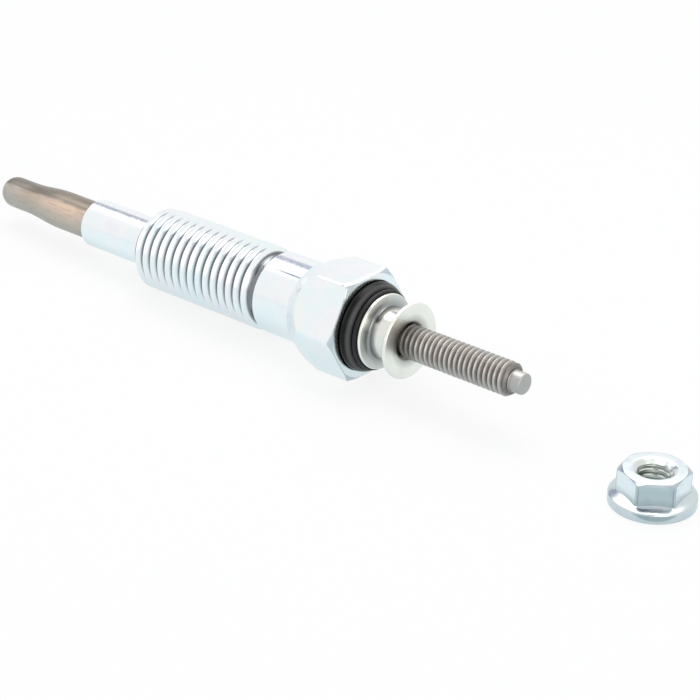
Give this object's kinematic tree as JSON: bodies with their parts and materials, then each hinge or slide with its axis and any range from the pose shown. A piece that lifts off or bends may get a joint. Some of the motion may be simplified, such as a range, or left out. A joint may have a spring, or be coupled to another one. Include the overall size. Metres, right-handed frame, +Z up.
{
  "type": "diesel glow plug",
  "caption": "Diesel glow plug with a swaged sheath, an M10 body thread, a hexagon head, a sealed M4 screw terminal and its flange nut, lying as it comes to rest.",
  "frame": {"origin": "on the plug's axis, where the body thread ends at its relief groove", "axes": "+X along the plug from its hot tip to its terminal, but for the small tilt at which it rests; +Z up"},
  "size_m": [0.1071, 0.0136, 0.0123],
  "materials": {
    "zinc_steel": "bright zinc plate",
    "sheath_steel": "heat-tinted",
    "coil_wire": "drawn wire",
    "magnesia": "packed powder",
    "seal_rubber": "moulded",
    "rod_steel": "rolled thread",
    "bush_plastic": "moulded",
    "ring_rubber": "moulded, oiled",
    "collar_steel": "bright plate",
    "nut_steel": "bright zinc plate"
  },
  "bodies": {
    "root": {"shell": "zinc_steel", "sheath_tube": "sheath_steel", "heating_coil": "coil_wire", "control_coil": "coil_wire", "magnesia_filling": "magnesia", "tube_seal": "seal_rubber", "center_rod": "rod_steel", "insulating_bush": "bush_plastic", "o_ring": "ring_rubber", "crimp_collar": "collar_steel", "terminal_nut": "nut_steel"}
  },
  "joints": []
}
